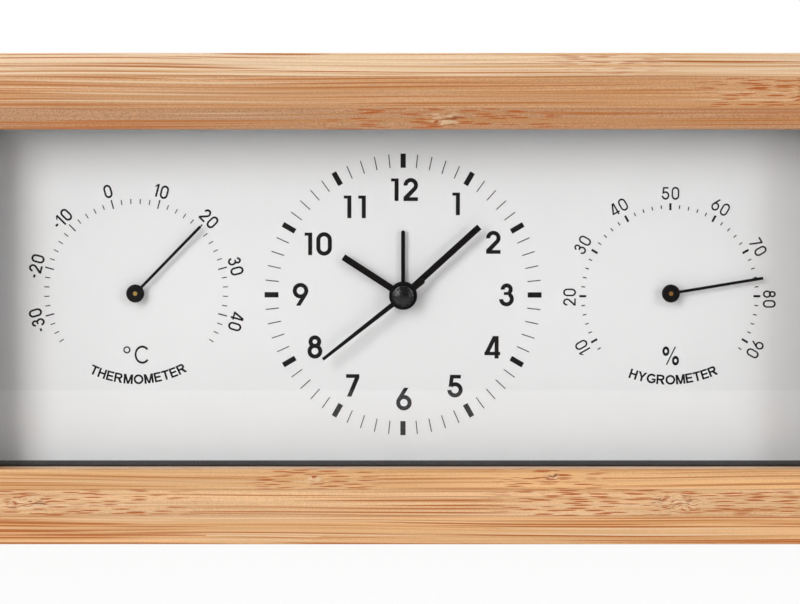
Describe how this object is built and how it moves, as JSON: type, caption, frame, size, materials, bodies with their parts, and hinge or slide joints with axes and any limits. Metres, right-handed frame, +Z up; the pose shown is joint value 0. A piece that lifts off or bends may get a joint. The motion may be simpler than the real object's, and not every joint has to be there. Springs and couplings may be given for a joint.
{
  "type": "thermometer hygrometer clock",
  "caption": "Wide bamboo-framed desk clock with an alarm, between a dial thermometer and a dial hygrometer on one white sheet behind a flat pane.",
  "frame": {"origin": "middle of the flat underside that the clock stands on", "axes": "+X to the right as the dial is read, +Y from the dial to the back, +Z up"},
  "size_m": [0.22, 0.045, 0.11],
  "materials": {
    "bamboo": "satin",
    "pane": "polished",
    "black_plastic": "matte",
    "white_sheet": "satin",
    "pale_plastic": "matte",
    "wheel_plastic": "matte",
    "steel": "satin",
    "black_enamel": "satin",
    "dark_plastic": "gloss",
    "brass": "polished",
    "copper": "satin",
    "magnet": "matte",
    "circuit": "matte",
    "cell_can": "satin",
    "bimetal": "satin",
    "humidity_strip": "matte"
  },
  "bodies": {
    "clock": {"alarm_contact": "steel", "bottom_board": "bamboo", "bridge_screws": "steel", "buzzer": "black_plastic", "chip": "dark_plastic", "circuit_board": "circuit", "coil_bobbin": "pale_plastic", "coil_core": "steel", "coil_winding": "copper", "corner_slips": "bamboo", "cover_screws": "steel", "dial_carrier": "pale_plastic", "dial_screws": "steel", "dial_sheet": "white_sheet", "front_glass": "pane", "gauge_screws": "steel", "housing_screws": "steel", "hygrometer_bracket": "steel", "hygrometer_coil": "humidity_strip", "left_board": "bamboo", "movement_front_housing": "black_plastic", "movement_rear_housing": "black_plastic", "movement_screws": "steel", "negative_contact": "steel", "positive_contact": "steel", "quartz_crystal": "steel", "rear_cover": "black_plastic", "right_board": "bamboo", "spacer_frame": "black_plastic", "stator": "steel", "thermometer_bracket": "steel", "thermometer_coil": "bimetal", "top_board": "bamboo", "train_bridge": "pale_plastic"},
    "seconds": {"second_wheel": "wheel_plastic", "second_hand": "black_enamel", "second_cap": "dark_plastic"},
    "minutes": {"minute_wheel": "wheel_plastic", "minute_hand": "black_enamel"},
    "hours": {"hour_wheel": "wheel_plastic", "hour_hand": "black_enamel"},
    "third": {"third_wheel": "wheel_plastic"},
    "fifth": {"fifth_wheel": "wheel_plastic"},
    "rotor": {"rotor_pinion": "wheel_plastic", "rotor_magnet": "magnet"},
    "motion": {"motion_wheel": "wheel_plastic", "time_set_knob": "black_plastic"},
    "alarm_setting": {"alarm_set_pinion": "wheel_plastic", "alarm_set_knob": "black_plastic"},
    "alarm": {"alarm_wheel": "wheel_plastic", "alarm_hand": "black_enamel"},
    "thermometer": {"thermometer_shaft": "brass", "thermometer_pointer": "black_enamel"},
    "hygrometer": {"hygrometer_shaft": "brass", "hygrometer_pointer": "black_enamel"},
    "switch": {"alarm_switch": "black_plastic"},
    "cell": {"battery": "cell_can"},
    "door": {"battery_door": "black_plastic"}
  },
  "joints": [
    {"name": "seconds_turn", "type": "hinge", "parent": "clock", "child": "seconds", "pos_m": [0, 0, 0.055], "axis": [0, 1, 0], "continuous": true},
    {"name": "minutes_turn", "type": "hinge", "parent": "clock", "child": "minutes", "pos_m": [0, 0, 0.055], "axis": [0, 1, 0], "continuous": true},
    {"name": "hours_turn", "type": "hinge", "parent": "clock", "child": "hours", "pos_m": [0, 0, 0.055], "axis": [0, 1, 0], "continuous": true},
    {"name": "third_turn", "type": "hinge", "parent": "clock", "child": "third", "pos_m": [0.0051, 0, 0.06383], "axis": [0, 1, 0], "continuous": true},
    {"name": "fifth_turn", "type": "hinge", "parent": "clock", "child": "fifth", "pos_m": [-0.00578, 0, 0.06326], "axis": [0, 1, 0], "continuous": true},
    {"name": "rotor_turn", "type": "hinge", "parent": "clock", "child": "rotor", "pos_m": [-0.00922, 0, 0.06817], "axis": [0, 1, 0], "continuous": true},
    {"name": "time_setting_turn", "type": "hinge", "parent": "clock", "child": "motion", "pos_m": [0.00885, 0, 0.04881], "axis": [0, 1, 0], "continuous": true},
    {"name": "alarm_setting_turn", "type": "hinge", "parent": "clock", "child": "alarm_setting", "pos_m": [-0.00885, 0, 0.04881], "axis": [0, 1, 0], "continuous": true},
    {"name": "alarm_turn", "type": "hinge", "parent": "clock", "child": "alarm", "pos_m": [0, 0, 0.055], "axis": [0, 1, 0], "continuous": true},
    {"name": "thermometer_turn", "type": "hinge", "parent": "clock", "child": "thermometer", "pos_m": [-0.061, 0, 0.0555], "axis": [0, 1, 0], "range_deg": [-179.3, 90.7], "stiffness_Nm_per_rad": 0.002},
    {"name": "hygrometer_turn", "type": "hinge", "parent": "clock", "child": "hygrometer", "pos_m": [0.061, 0, 0.0555], "axis": [0, 1, 0], "range_deg": [-230.6, 69.4], "stiffness_Nm_per_rad": 0.001},
    {"name": "switch_slide", "type": "slide", "parent": "clock", "child": "switch", "axis": [1, 0, 0], "range_m": [0, 0.003]},
    {"name": "cell_lift", "type": "slide", "parent": "clock", "child": "cell", "axis": [0, 1, 0], "range_m": [0, 0.03]},
    {"name": "door_lift", "type": "slide", "parent": "clock", "child": "door", "axis": [0, 1, 0], "range_m": [0, 0.045]}
  ],
  "couplings": [
    {"joint": "minutes_turn", "follows": "seconds_turn", "ratio": 0.016667},
    {"joint": "hours_turn", "follows": "seconds_turn", "ratio": 0.0013889},
    {"joint": "third_turn", "follows": "seconds_turn", "ratio": -0.13333},
    {"joint": "fifth_turn", "follows": "seconds_turn", "ratio": -6},
    {"joint": "rotor_turn", "follows": "seconds_turn", "ratio": 30},
    {"joint": "time_setting_turn", "follows": "seconds_turn", "ratio": -0.0055556},
    {"joint": "alarm_turn", "follows": "alarm_setting_turn", "ratio": -0.33333},
    {"joint": "door_lift", "follows": "cell_lift", "ratio": 1.5}
  ]
}
